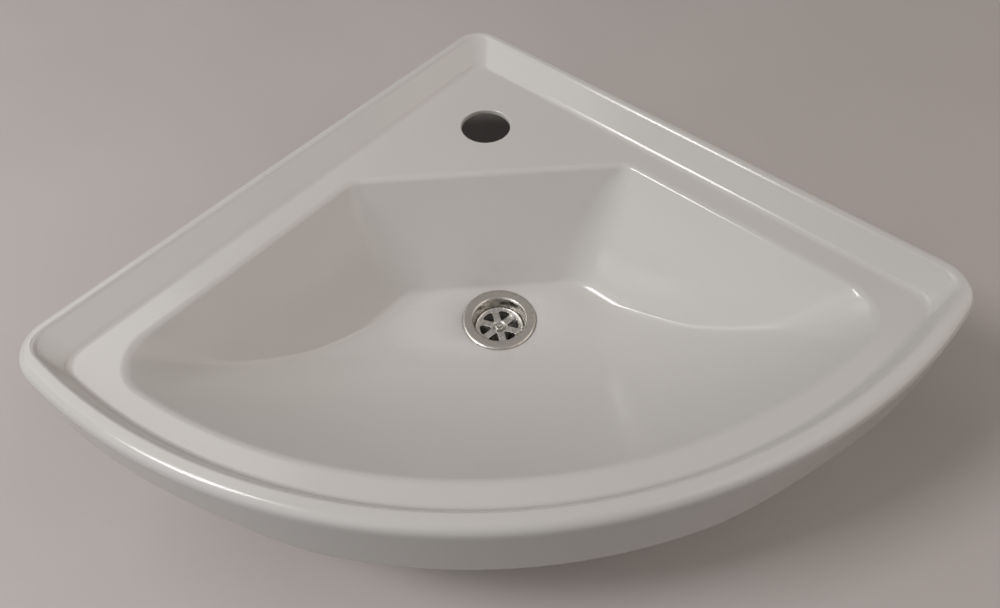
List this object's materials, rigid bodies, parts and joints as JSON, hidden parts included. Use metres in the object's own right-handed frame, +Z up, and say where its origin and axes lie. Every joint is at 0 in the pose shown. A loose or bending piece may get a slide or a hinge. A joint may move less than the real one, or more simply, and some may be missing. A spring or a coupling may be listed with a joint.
{
  "type": "corner basin",
  "caption": "Small quarter-circle corner basin with a raised rim, a sunken tap deck, a dished bowl and a screw-down strainer waste.",
  "frame": {"origin": "where the planes of the two walls meet, level with the top of the rim", "axes": "+Z up, square to the rim; the two walls run from the origin at 45 degrees either side of -Y, so the curved front faces -Y; +X is to the right of a person facing the basin"},
  "size_m": [0.5454, 0.4028, 0.1399],
  "materials": {
    "shell": "gloss warm white, smooth moulded",
    "pressed_steel": "polished stainless steel",
    "strainer_steel": "polished stainless steel",
    "screw_steel": "plain stainless steel",
    "seal_rubber": "matt black rubber",
    "waste_plastic": "satin white moulded plastic",
    "insert_brass": "turned brass"
  },
  "bodies": {
    "root": {"basin_shell": "shell", "waste_flange": "pressed_steel", "strainer_grid": "strainer_steel", "centre_screw": "screw_steel", "upper_seal": "seal_rubber", "lower_seal": "seal_rubber", "waste_body": "waste_plastic", "screw_insert": "insert_brass"}
  },
  "joints": []
}
